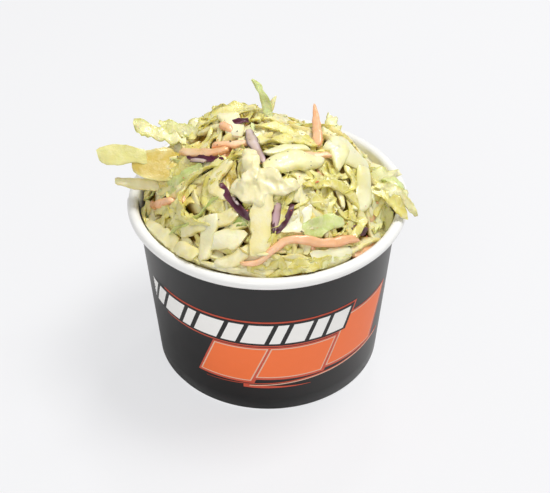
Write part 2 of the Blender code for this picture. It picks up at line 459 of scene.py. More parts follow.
# %% [markdown]
# ## Reading the heap
# The plain solid says how high the slaw stands everywhere. A ray dropped at each cell of a fine
# grid reads that height. The long leaves that poke out would read as ridges, so a pass of
# low-then-high filtering removes whatever is narrower than they are and leaves the mound itself.

# %% The height grid
CELL = 0.5 * MM
REACH = 56 * MM
SIDE = int(2 * REACH / CELL) + 1
NOTHING = -1.0
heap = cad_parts["slaw_heap"]
heap_corners = [vertex.co for vertex in heap.data.vertices]
heap_tree = BVHTree.FromPolygons(heap_corners, [face.vertices for face in heap.data.polygons])
centres = np.linspace(-REACH, REACH, SIDE)
solid_top = np.full((SIDE, SIDE), NOTHING)
DOWN = Vector((0, 0, -1))
ABOVE_ALL = 200 * MM
for i, x in enumerate(centres):
    for j, y in enumerate(centres):
        hit = heap_tree.ray_cast(Vector((AXIS_X + x, AXIS_Y + y, ABOVE_ALL)), DOWN)[0]
        if hit is not None:
            solid_top[i, j] = hit.z


def windowed(grid, cells, pick):
    """pick, such as the mean, over a square window round each cell, one axis after the other."""
    for axis in (0, 1):
        pad = [(0, 0), (0, 0)]
        pad[axis] = (cells, cells)
        padded = np.pad(grid, pad, mode="edge")
        windows = np.lib.stride_tricks.sliding_window_view(padded, 2 * cells + 1, axis=axis)
        grid = pick(windows, axis=-1)
    return grid


def blur(grid, cells):
    """Two passes of a running mean."""
    return windowed(windowed(grid, cells, np.mean), cells, np.mean)


LEAF_CELLS = int(5 * MM / CELL)
LOWEST_MOUND = 40 * MM
mound = windowed(windowed(solid_top, LEAF_CELLS, np.min), LEAF_CELLS, np.max)
away = np.hypot(*np.meshgrid(centres, centres, indexing="ij"))
inside = away < WALL_TOP - BOARD / 2 - 0.3 * MM
mound = np.where(inside, np.maximum(np.minimum(mound, solid_top), LOWEST_MOUND), NOTHING)
print(f"heap top {solid_top.max() / MM:.1f} mm, mound top {mound.max() / MM:.1f} mm, {inside.sum()} cells")

# %% [markdown]
# ## The core
# Deep in the heap nothing can be told apart, so a core fills it, from the tub's floor up to a few
# millimetres under the surface. Its top is lumpy with the same wavy relief that packed
# shreds have, for the gaps that look right down to it. It is coloured a dark brown, which is painted
# shade for those gaps.

# %% Core
CORE_DEPTH = 6.5 * MM
CORE_RINGS, CORE_SPOKES = 60, 160
CORE_FLOOR = 8.4 * MM


def cell_of(x, y):
    """Grid indices of a point measured from the tub's axis."""
    i = np.clip(np.rint((np.asarray(x) + REACH) / CELL).astype(int), 0, SIDE - 1)
    j = np.clip(np.rint((np.asarray(y) + REACH) / CELL).astype(int), 0, SIDE - 1)
    return i, j


def packed_relief(x, y):
    """Ridges like the backs of packed shreds."""
    at = Vector((x, y, 0)) / (5 * MM)
    swirl = noise.noise(at * 0.6) * 3
    ridges = math.sin(x / (1.3 * MM) + swirl * 2) * math.sin(y / (1.5 * MM) - swirl * 2.6)
    return (1.0 * ridges + 1.6 * noise.noise(at * 1.7)) * MM


CORE_GAP = 0.35 * MM
CORE_RADIUS = WALL_TOP - BOARD / 2 - 0.4 * MM
PROBE_RADIUS = 40.2 * MM
core_angles = [2 * math.pi * spoke / CORE_SPOKES for spoke in range(CORE_SPOKES)]
verts = [(AXIS_X, AXIS_Y, float(mound[cell_of(0, 0)]) - CORE_DEPTH)]
for ring in range(1, CORE_RINGS + 1):
    r = CORE_RADIUS * ring / CORE_RINGS
    probe = min(r, PROBE_RADIUS)
    for angle in core_angles:
        z = float(mound[cell_of(probe * math.cos(angle), probe * math.sin(angle))]) - CORE_DEPTH
        z += packed_relief(r * math.cos(angle), r * math.sin(angle))
        verts.append(around_axis(min(r, wall_radius(z) - BOARD / 2 - CORE_GAP), angle, z))
for angle in core_angles:
    verts.append(around_axis(wall_radius(CORE_FLOOR) - BOARD / 2 - CORE_GAP, angle, CORE_FLOOR))
faces = grid_faces(CORE_RINGS + 1, CORE_SPOKES, start=1)
faces += [(0, 1 + spoke, 1 + (spoke + 1) % CORE_SPOKES) for spoke in range(CORE_SPOKES)]
faces.append(tuple(1 + CORE_RINGS * CORE_SPOKES + s for s in range(CORE_SPOKES))[::-1])
core = mesh_object("slaw_core", verts, faces)
tidy_normals(core.data, 60)
print("core:", len(core.data.polygons), "faces")

# %% [markdown]
# ## Laying shreds
# A heap is what gravity leaves: each shred lies on those before it. The grid of heights stands in
# for a simulation. A shred's path is drawn from above, the highest support under each step of it
# is looked up, a stiff average of those heights is taken so that it bridges small gaps, and its own
# top then becomes support for the next. It is quick, it never leaves a shred floating, and the
# same seed always gives the same heap.

# %% Paths
DRAW = random.Random(11)
OUTSIDE_LEVEL = 55 * MM
SLOPE_CELLS = 6
support = np.where(inside, mound - CORE_DEPTH + 1.0 * MM, NOTHING)
lip_ring = (away >= WALL_TOP - BOARD) & (away <= LIP_RADIUS)
support[lip_ring] = LIP_TOP
slope_x, slope_y = np.gradient(np.where(mound > 0, mound, OUTSIDE_LEVEL), CELL)
slope_x, slope_y = blur(slope_x, SLOPE_CELLS), blur(slope_y, SLOPE_CELLS)
surface = blur(np.where(inside, mound, LIP_TOP), 2)


def smooth_path(points, spacing):
    """Points at even spacing along a rounded curve through the given points."""
    p = np.asarray(points, float)
    if len(p) == 2:
        p = np.array([p[0], (p[0] + p[1]) / 2, p[1]])
    ends = np.concatenate([[2 * p[0] - p[1]], p, [2 * p[-1] - p[-2]]])
    fine = []
    for a, b, c, d in zip(ends, ends[1:], ends[2:], ends[3:]):
        for t in np.linspace(0, 1, 12, endpoint=False):
            square, cube = 2 * a - 5 * b + 4 * c - d, 3 * b - a - 3 * c + d
            fine.append(0.5 * (2 * b + (c - a) * t + square * t**2 + cube * t**3))
    fine.append(p[-1])
    fine = np.array(fine)
    run = np.concatenate([[0], np.cumsum(np.linalg.norm(np.diff(fine, axis=0), axis=1))])
    stations = max(6, int(run[-1] / spacing) + 1)
    even = np.linspace(0, run[-1], stations)
    return np.stack([np.interp(even, run, fine[:, k]) for k in range(fine.shape[1])], axis=1)


def soften(values, cells):
    """A running average that keeps the ends where they are."""
    padded = np.pad(values, cells, mode="edge")
    kernel = np.hanning(2 * cells + 3)[1:-1]
    return np.convolve(padded, kernel / kernel.sum(), mode="valid")


# %% Rest a path on the heap
LAY_STEP = 0.9 * MM
ACROSS = np.linspace(-1, 1, 7)
ACROSS_DENSE = np.linspace(-1, 1, 15)
SLOPE_SHARE = 0.85
GAP_QUANTILE, GAP_SHARE = 0.75, 0.7
TINY = 1e-9


def unit(vectors):
    """The vectors, each at length one."""
    return vectors / np.maximum(np.linalg.norm(vectors, axis=1), TINY)[:, None]


def plan_sides(path):
    """Unit vectors to the left of a plan path."""
    along = unit(np.gradient(path[:, :2], axis=0))
    return np.stack([-along[:, 1], along[:, 0]], axis=1)


def spread_evenly(values, n):
    """n values that pass through the given ones at even distances."""
    return np.interp(np.linspace(0, 1, n), np.linspace(0, 1, len(values)), values)


def rest_heights(path, half_width, thick, roll, stiffness, level):
    """Heights for the middle of a shred on this plan path, and its roll with the slope added.

    Dressed shreds press into each other, so none stands more than level above the mound's surface.
    """
    side = plan_sides(path)
    i, j = cell_of(path[:, 0], path[:, 1])
    tilt = np.arctan(slope_x[i, j] * side[:, 0] + slope_y[i, j] * side[:, 1])
    rolled = soften(tilt, 2) * SLOPE_SHARE + roll
    offset = half_width[:, None] * ACROSS
    x = path[:, 0, None] + side[:, 0, None] * offset * np.cos(rolled)[:, None]
    y = path[:, 1, None] + side[:, 1, None] * offset * np.cos(rolled)[:, None]
    need = support[cell_of(x, y)] - offset * np.sin(rolled)[:, None]
    z = need.max(axis=1) + thick / 2
    eased = soften(z, stiffness)
    eased += max(0.0, float(np.quantile(z - eased, GAP_QUANTILE))) * GAP_SHARE
    eased = np.minimum(eased, surface[i, j] + level)
    return soften(eased, max(2, stiffness // 2)), rolled


def raise_support(path, z, half_width, thick, rolled):
    """The shred just laid holds up the next ones."""
    side = plan_sides(path)
    offset = half_width[:, None] * ACROSS_DENSE
    for shift in (-0.5, 0, 0.5):
        along = np.gradient(path[:, :2], axis=0) * shift
        x = path[:, 0, None] + along[:, 0, None] + side[:, 0, None] * offset * np.cos(rolled)[:, None]
        y = path[:, 1, None] + along[:, 1, None] + side[:, 1, None] * offset * np.cos(rolled)[:, None]
        top = z[:, None] + offset * np.sin(rolled)[:, None] + thick / 2
        np.maximum.at(support, cell_of(x, y), top)


# %% [markdown]
# ## One shred
# A cabbage shred is a cut strip of leaf: flat faces, blunt cut edges, ends sliced at a slant, a
# slight trough across it from the leaf's curve, and thin leaf ruffles at its edges. It
# could be a curve with a bevel, but then every section would be the same. Here a rounded section
# is swept along the path by hand, and width, thickness, trough, ruffle and twist all change on
# the way. Each corner also gets a colour: paler on the faces, deeper on the cut edges, and darker
# and browner further down in the heap, which is painted shade for the gaps between shreds. A fourth
# number says how much cream dressing reached it. It is lower further down, as part of that painted shade.

# %% A shred's section
SECTION = 14
section_angles = np.linspace(0, 2 * math.pi, SECTION, endpoint=False)


def flat_round(angle_cos, power):
    return np.sign(angle_cos) * np.abs(angle_cos) ** power


SECTION_U = flat_round(np.cos(section_angles), 0.60)
SECTION_V = flat_round(np.sin(section_angles), 0.55)


def wobble(values, phase, size):
    """A gentle repeatable unevenness along a length."""
    return size * (np.sin(values * 1.0 + phase) + 0.6 * np.sin(values * 2.3 + 1.7 * phase)) / 1.6


WALL_CLEARANCE = 0.2 * MM
LIP_OVERHANG = 1.5 * MM


class Batch:
    """Shreds of one kind, gathered here and made into one mesh at the end."""

    def __init__(self, name):
        self.name = name
        self.verts, self.faces, self.colours = [], [], []
        self.count = 0

    def add(self, points, faces, colours):
        """Adds a shred: its corners, its faces numbered from zero, and a colour for each corner."""
        base = len(self.verts)
        self.verts += [tuple(point) for point in points]
        self.faces += [tuple(base + corner for corner in face) for face in faces]
        self.colours += [tuple(colour) for colour in colours]
        self.count += 1


def confine(points):
    """Moves points that would pass through the tub's wall back inside it."""
    dx, dy = points[..., 0] - AXIS_X, points[..., 1] - AXIS_Y
    radius = np.maximum(np.hypot(dx, dy), TINY)
    limit = np.minimum(wall_radius(points[..., 2]), WALL_TOP) - BOARD / 2 - WALL_CLEARANCE
    over_lip = np.clip((points[..., 2] - LIP_TOP) / BOARD, 0, 1) * LIP_OVERHANG
    share = np.minimum(1, (limit + over_lip) / radius)
    points[..., 0] = AXIS_X + dx * share
    points[..., 1] = AXIS_Y + dy * share
    return points


def path_frame(path, rolled, up):
    """Unit vectors along the path, across the shred's face, and out of its face."""
    along = unit(np.gradient(path, axis=0))
    if up is None:
        flat = unit(np.stack([-along[:, 1], along[:, 0], np.zeros(len(path))], axis=1))
    else:
        flat = unit(np.cross(up, along))
    face = np.cross(along, flat)
    c, s = np.cos(rolled)[:, None], np.sin(rolled)[:, None]
    return along, flat * c + face * s, face * c - flat * s


def section_shape(look, run, to_end, half, thick, phase):
    """Each corner's offsets across the face and out of it, and how near it is to a cut edge."""
    rough, fine = look.ragged, 0.5 * look.ragged
    left = half * (1 + wobble(run * 0.55, phase, rough) + wobble(run * 1.7, phase + 1, fine))
    right = half * (1 + wobble(run * 0.65, phase + 4, rough) + wobble(run * 1.5, phase + 5, fine))
    close = np.clip(to_end / (0.30 * thick + 0.15 * MM), 0, 1)
    round_off = (np.sqrt(1 - (1 - close) ** 2) * 0.45 + 0.55)[:, None]
    u = np.where(SECTION_U > 0, SECTION_U * left[:, None], SECTION_U * right[:, None]) * round_off**0.5
    edge = np.abs(SECTION_U)[None, :] ** 2
    thickness = thick / 2 * (1 + wobble(run * 0.5, phase + 2, 0.10))
    v = SECTION_V[None, :] * thickness[:, None] * round_off * (1 - look.thin_edge * edge)
    v = v + look.trough * half[:, None] * (edge - 0.4)
    beat = run * look.ruffle_rate
    wave = np.sin(beat + phase * 3) + 0.5 * np.sin(beat * 1.9 + phase)
    v = v + look.ruffle * MM * edge * wave[:, None] * np.sign(SECTION_U)[None, :]
    crease = np.sin(beat * 0.7 + phase)[:, None] * np.sin(u / MM * 0.9 + 2 * phase)
    return u, v + look.crinkle * MM * crease, edge


# %% Colour a shred
STREAK_TINT = np.array((0.6, 0.8, 1.6))
# Painted shade for the gaps in the heap: the depth under the surface at which it is full, the colour it
# multiplies by, how soon it sets in, and how much dressing it takes away.
SHADE_DEPTH = 3.4 * MM
PAINTED_SHADE_TINT = np.array((0.66, 0.39, 0.04))
SHADE_POWER = 0.8
SUNK_DRESSING_SHADE = 0.9
DARKEST, PALEST = 0.005, 0.95


def shred_colours(look, points, run, edge, phase, draw):
    """A colour for every corner, darker deeper in the heap as painted shade, and as a fourth number the
    dressing on it.
    """
    face = np.array(look.face) * (1 + 0.05 * draw.uniform(-1, 1))
    other = np.array(look.other) * (1 + 0.05 * draw.uniform(-1, 1))
    edge_colour = np.array(look.edge) * (1 + 0.07 * draw.uniform(-1, 1))
    turn = run / run[-1] * draw.uniform(1.5, 4) + phase
    drift = np.clip(0.5 + 0.5 * np.sin(turn), 0, 1)[:, None, None] * look.drift
    rim = edge[..., None] ** look.rim_fall * look.rim
    colour = (face * (1 - drift) + other * drift) * (1 - rim) + edge_colour * rim
    streaks = np.array([draw.gauss(0, 1) for _ in range(SECTION)])[None, :]
    patchy = wobble(run * 0.8, phase + 3, 1.0)[:, None]
    colour = colour * (1 + look.streak * (streaks + patchy)[..., None] * STREAK_TINT)
    # Painted shade: corners further below the heap's surface are darkened towards a brownish yellow, as if
    # shade fell in the gaps, and they get less cream dressing.
    cells = cell_of(points[..., 0] - AXIS_X, points[..., 1] - AXIS_Y)
    sunk = np.clip((surface[cells] - points[..., 2]) / SHADE_DEPTH, 0, 1)[..., None]
    colour = colour * (1 + (PAINTED_SHADE_TINT - 1) * sunk**SHADE_POWER)
    dressing = look.dressed * (1 - SUNK_DRESSING_SHADE * sunk)
    return np.concatenate([np.clip(colour, DARKEST, PALEST), dressing], axis=-1).reshape(-1, 4)


# %% Sweep a shred
SLANTED_END = 3 * MM


def sweep(batch, path, widths, thick, rolled, look, draw, up=None):
    """Adds one shred that follows the 3-D path. widths are spread evenly along it."""
    n = len(path)
    t = np.linspace(0, 1, n)
    length = float(np.linalg.norm(np.diff(path, axis=0), axis=1).sum())
    run, to_end = t * length / MM, np.minimum(t, 1 - t) * length
    phase = draw.uniform(0, 6.28)
    half = spread_evenly(widths, n) / 2
    along, side, normal = path_frame(path, rolled, up)
    u, v, edge = section_shape(look, run, to_end, half, thick, phase)
    near_end = np.clip(1 - to_end / SLANTED_END, 0, 1)
    slant = look.slant * draw.uniform(-1, 1) * SECTION_U[None, :] * (half * near_end)[:, None]
    points = path[:, None] + side[:, None] * u[..., None] + normal[:, None] * v[..., None]
    points = points + along[:, None] * slant[..., None]
    x, y, z = np.moveaxis(points / MM, -1, 0)
    lump = np.sin(x * 1.9 + phase) * np.sin(y * 2.1 - phase) * np.sin(z * 1.7 + 2 * phase)
    lump = look.lumps * MM * lump * np.sign(SECTION_V + TINY)[None, :]
    points = points + normal[:, None] * lump[..., None]
    if up is None:
        points = confine(points)
    faces = grid_faces(n, SECTION)
    faces += [tuple(range(SECTION))[::-1], tuple((n - 1) * SECTION + j for j in range(SECTION))]
    batch.add(points.reshape(-1, 3), faces, shred_colours(look, points, run, edge, phase, draw))


# %% Looks of each kind of shred
CREAM = (0.85, 0.81, 0.60)


PLAIN = dict(drift=0.6, rim=0.6, trough=0.1, ruffle=0.1, ruffle_rate=0.6, thin_edge=0.1, slant=0.6,
             lumps=0.1, crinkle=0.1, ragged=0.12, streak=0.05, rim_fall=2.0, dressed=1.0)
LEAFY = dict(drift=0.8, rim=0.6, trough=0.25, ruffle=0.5, ruffle_rate=0.9, thin_edge=0.4,
             crinkle=0.5, ragged=0.18, streak=0.08)
BROAD = dict(ruffle_rate=0.5, thin_edge=0.4, crinkle=0.30, dressed=0.3)
ROOT = dict(drift=0.8, rim=0.5, trough=0.04, lumps=0.16, streak=0.08)


def look(batch, face, other, edge, shared=PLAIN, **own):
    """How one kind of shred is coloured and shaped. batch is the piece that it is joined to."""
    return SimpleNamespace(batch=batch, face=face, other=other, edge=edge, **{**PLAIN, **shared, **own})


LOOKS = {
    "rib": look("rib", (0.84, 0.79, 0.46), (0.82, 0.72, 0.30), (0.70, 0.57, 0.09),
                rim=0.5, lumps=0.18, crinkle=0.2),
    "pale": look("rib", (0.86, 0.83, 0.57), (0.84, 0.77, 0.41), (0.74, 0.63, 0.14),
                 rim=0.55, trough=0.08, ruffle=0.25, crinkle=0.35, lumps=0.18),
    "smooth": look("rib", (0.85, 0.84, 0.56), (0.80, 0.76, 0.33), (0.66, 0.58, 0.10),
                   trough=-0.22, ruffle=0.15, crinkle=0.25, lumps=0.16, ragged=0.08),
    "leaf": look("leaf", (0.82, 0.75, 0.28), (0.68, 0.61, 0.12), (0.52, 0.45, 0.03), LEAFY,
                 drift=0.7, rim=0.7, ruffle=0.45, ragged=0.20),
    "frill": look("leaf", (0.86, 0.83, 0.48), (0.74, 0.73, 0.24), (0.50, 0.51, 0.05), LEAFY,
                  drift=0.7, rim=0.8, trough=0.15, ruffle=0.75, ruffle_rate=1.5, thin_edge=0.5,
                  crinkle=0.6, ragged=0.28),
    "olive": look("leaf", (0.70, 0.56, 0.12), (0.78, 0.66, 0.21), (0.53, 0.42, 0.04), LEAFY,
                  trough=0.2, ruffle=0.6, ruffle_rate=0.8, crinkle=0.7, ragged=0.20),
    "broad": look("rib", (0.66, 0.53, 0.13), (0.60, 0.45, 0.08), (0.78, 0.74, 0.36), BROAD,
                  drift=0.9, rim=0.8, ruffle=0.35, ragged=0.05, rim_fall=3.0),
    "paddle": look("rib", (0.72, 0.69, 0.30), (0.65, 0.63, 0.19), (0.75, 0.72, 0.31), BROAD,
                   drift=0.8, trough=0.12, ruffle=0.25, ragged=0.04),
    "pale_green": look("green", (0.70, 0.76, 0.36), (0.58, 0.67, 0.22), (0.42, 0.52, 0.08), LEAFY),
    "green": look("green", (0.36, 0.45, 0.10), (0.12, 0.19, 0.03), (0.12, 0.19, 0.02), LEAFY,
                  ruffle_rate=1.0, crinkle=0.4, streak=0.10),
    "carrot": look("carrot", (0.88, 0.42, 0.19), (0.90, 0.60, 0.37), (0.80, 0.25, 0.06), ROOT,
                   ruffle=0.08, crinkle=0.15),
    "pale_carrot": look("carrot", (0.90, 0.52, 0.27), (0.90, 0.68, 0.43), (0.82, 0.30, 0.08), ROOT,
                        ruffle=0.15, crinkle=0.2, ragged=0.15),
    "red": look("red", (0.050, 0.003, 0.018), (0.13, 0.012, 0.046), (0.34, 0.14, 0.19),
                rim=0.4, trough=0.25, ruffle=0.35, ruffle_rate=1.2, thin_edge=0.3, crinkle=0.35,
                ragged=0.22, streak=0.12),
    "lilac": look("red", (0.70, 0.57, 0.50), (0.44, 0.24, 0.27), (0.05, 0.004, 0.018),
                  drift=0.7, rim=0.95, trough=0.25, ruffle=0.25, thin_edge=0.3, crinkle=0.3,
                  ragged=0.15, streak=0.12, rim_fall=1.5),
}
batches = {kind: Batch(kind) for kind in ("rib", "leaf", "green", "carrot", "red", "knot", "spice")}


def lay_shred(kind, plan, widths, thick, roll=0.0, stiffness=4, draw=DRAW, twist=0.0, level=0.0,
              batch=None):
    """Rests a shred of this kind on the heap along a plan path in metres, and adds it to its batch."""
    path = smooth_path(plan, LAY_STEP)
    n = len(path)
    half = spread_evenly(widths, n) / 2
    turn = roll + twist * np.linspace(-0.5, 0.5, n)
    z, rolled = rest_heights(path, half, thick, turn, stiffness, level)
    raise_support(path, z, half, thick, rolled)
    full = np.stack([AXIS_X + path[:, 0], AXIS_Y + path[:, 1], z], axis=1)
    own = LOOKS[kind]
    sweep(batches[batch or own.batch], full, widths, thick, rolled, own, draw)


# %% [markdown]
# ## Filling the heap
# The bulk of the slaw is loose: pale ribs, yellow leaf strips and thin threads, with a few strands
# of carrot, green leaf and red cabbage. Each new shred goes where the heap is lowest under its
# outline, chosen from a handful of tries, until the surface has come up to the mound's own shape.

# %% Bulk shreds
FILL_BELOW = 2.6 * MM
WALL_FILL_BELOW = 0.6 * MM
near_wall = np.clip((away / WALL_TOP - 0.75) / 0.2, 0, 1)
target = np.where(inside, mound - FILL_BELOW + (FILL_BELOW - WALL_FILL_BELOW) * near_wall, NOTHING)
BULK_LEVEL = -0.6 * MM
KEEP_IN = WALL_TOP - 1.2 * MM
MIX = [("rib", 0.28), ("pale", 0.16), ("leaf", 0.32), ("olive", 0.10), ("pale_green", 0.05),
       ("carrot", 0.05), ("red", 0.02)]
# shortest, longest, narrowest, widest, thinnest, thickest in millimetres, most bend in radians
SIZES = {
    "rib": (10, 28, 3.0, 5.8, 1.6, 2.6, 0.9),
    "pale": (8, 18, 4.5, 8.0, 1.3, 2.0, 0.9),
    "leaf": (14, 36, 2.2, 5.6, 0.9, 1.4, 2.6),
    "olive": (9, 20, 4.0, 8.5, 0.8, 1.2, 1.5),
    "pale_green": (8, 18, 2.4, 6.0, 0.8, 1.2, 1.8),
    "carrot": (9, 22, 2.2, 3.2, 1.6, 2.4, 1.0),
    "red": (6, 15, 1.8, 3.6, 0.9, 1.4, 1.2),
}
cell_list = np.argwhere(inside)


def pick_kind():
    value = DRAW.random() * sum(share for _, share in MIX)
    for kind, share in MIX:
        value -= share
        if value < 0:
            return kind
    return "leaf"


def plan_from(x, y, heading, length, bend, steps=5):
    """A curved plan path whose middle is at a point."""
    turn = DRAW.uniform(-bend, bend) / (steps - 1)
    heading -= turn * (steps - 1) / 2
    stride = length / (steps - 1)
    pts = [(0.0, 0.0)]
    for _ in range(steps - 1):
        px, py = pts[-1]
        pts.append((px + stride * math.cos(heading), py + stride * math.sin(heading)))
        heading += turn
    mid = pts[steps // 2]
    return [(px - mid[0] + x, py - mid[1] + y) for px, py in pts]


def lowest_cells(tries):
    """Cells drawn at random, weighted by how far the heap there still is below its target."""
    picks = cell_list[[DRAW.randrange(len(cell_list)) for _ in range(tries)]]
    room = target[picks[:, 0], picks[:, 1]] - support[picks[:, 0], picks[:, 1]]
    return picks[np.argsort(-room)[:3]]


def place_in_heap(length, bend, width):
    """The plan path with most room out of several headings at low spots, or None."""
    best, best_room = None, 0.3 * MM
    for i, j in lowest_cells(30):
        x, y = centres[i], centres[j]
        for _ in range(7):
            plan = plan_from(x, y, DRAW.uniform(0, math.pi), length, bend)
            if max(math.hypot(px, py) for px, py in plan) > KEEP_IN - 0.15 * width:
                continue
            cells = cell_of([p[0] for p in plan], [p[1] for p in plan])
            room = float(np.mean(target[cells] - support[cells]))
            if room > best_room:
                best, best_room = plan, room
    return best


MOST_SHREDS, GIVE_UP, CROWDED = 700, 60, 6
laid, idle = 0, 0
while idle < GIVE_UP and laid < MOST_SHREDS:
    kind = pick_kind()
    low, high, narrow, wide, thin, fat, bend = SIZES[kind]
    length_share, width_share = (1.0, 1.0) if idle < CROWDED else (0.55, 0.8)
    length = DRAW.uniform(low, high) * MM * length_share
    width = DRAW.uniform(narrow, wide) * MM * width_share
    plan = place_in_heap(length, bend, width)
    if plan is None:
        idle += 1
        continue
    idle = max(0, idle - 1)
    first, last = DRAW.uniform(0.5, 1.05), DRAW.uniform(0.35, 1.05)
    widths = [width * first, width, width * DRAW.uniform(0.85, 1.1), width * last]
    roll = DRAW.gauss(0, 0.30) if DRAW.random() < 0.8 else DRAW.uniform(-1.2, 1.2)
    stiffness = 8 if kind in ("rib", "pale", "carrot") else DRAW.choice([3, 5])
    lay_shred(kind, plan, widths, DRAW.uniform(thin, fat) * MM, roll=roll, stiffness=stiffness,
              twist=DRAW.gauss(0, 0.4), level=BULK_LEVEL)
    laid += 1
print("bulk shreds:", laid, {k: b.count for k, b in batches.items()})
print(f"mean depth still below target: {np.maximum(target - support, 0)[inside].mean() / MM:.2f} mm")

# %% Thin threads and offcuts over the bulk
SMALL_SIZES = {
    "leaf": (9, 24, 1.4, 2.6, 0.7, 1.1, 3.4),
    "rib": (3, 9, 1.6, 3.2, 1.2, 1.8, 0.8),
    "olive": (3, 8, 2.0, 4.0, 0.7, 1.0, 1.5),
    "pale_green": (4, 14, 1.2, 2.4, 0.7, 1.0, 2.5),
    "carrot": (3, 9, 1.0, 1.8, 0.9, 1.4, 0.8),
    "red": (2, 7, 1.0, 1.8, 0.8, 1.0, 0.8),
}
SMALL_MIX = {"leaf": 0.56, "rib": 0.24, "olive": 0.04, "pale_green": 0.07, "carrot": 0.05, "red": 0.02}


def scatter_small(count, level, draw):
    """Lays small shreds all over the heap, where it is lowest first."""
    done = 0
    while done < count:
        kind = draw.choices(list(SMALL_MIX), list(SMALL_MIX.values()))[0]
        low, high, narrow, wide, thin, fat, bend = SMALL_SIZES[kind]
        i, j = lowest_cells(5)[0]
        heading = draw.uniform(0, math.pi)
        plan = plan_from(centres[i], centres[j], heading, draw.uniform(low, high) * MM, bend)
        if max(math.hypot(px, py) for px, py in plan) > KEEP_IN:
            continue
        width = draw.uniform(narrow, wide) * MM
        widths = [width * draw.uniform(0.5, 1), width, width * draw.uniform(0.4, 1)]
        lay_shred(kind, plan, widths, draw.uniform(thin, fat) * MM, roll=draw.gauss(0, 0.5), stiffness=2,
                  draw=draw, twist=draw.gauss(0, 0.8), level=level)
        done += 1
    print("small shreds:", done)


scatter_small(160, 0.3 * MM, DRAW)

# %% [markdown]
# ## The shreds that show best
# The top of the heap is arranged one by one, as a cook would finish it: the long carrot along the
# front, the red cabbage, the curled leaves, and the creamy knot in the middle with a strip hanging
# from it. Each has a short plan path in millimetres from the tub's axis, and rests on the heap in
# the order of this list. The last number of a row is how far it may stand above the mound.

# %% Listed shreds, lowest first
HAND = random.Random(5)
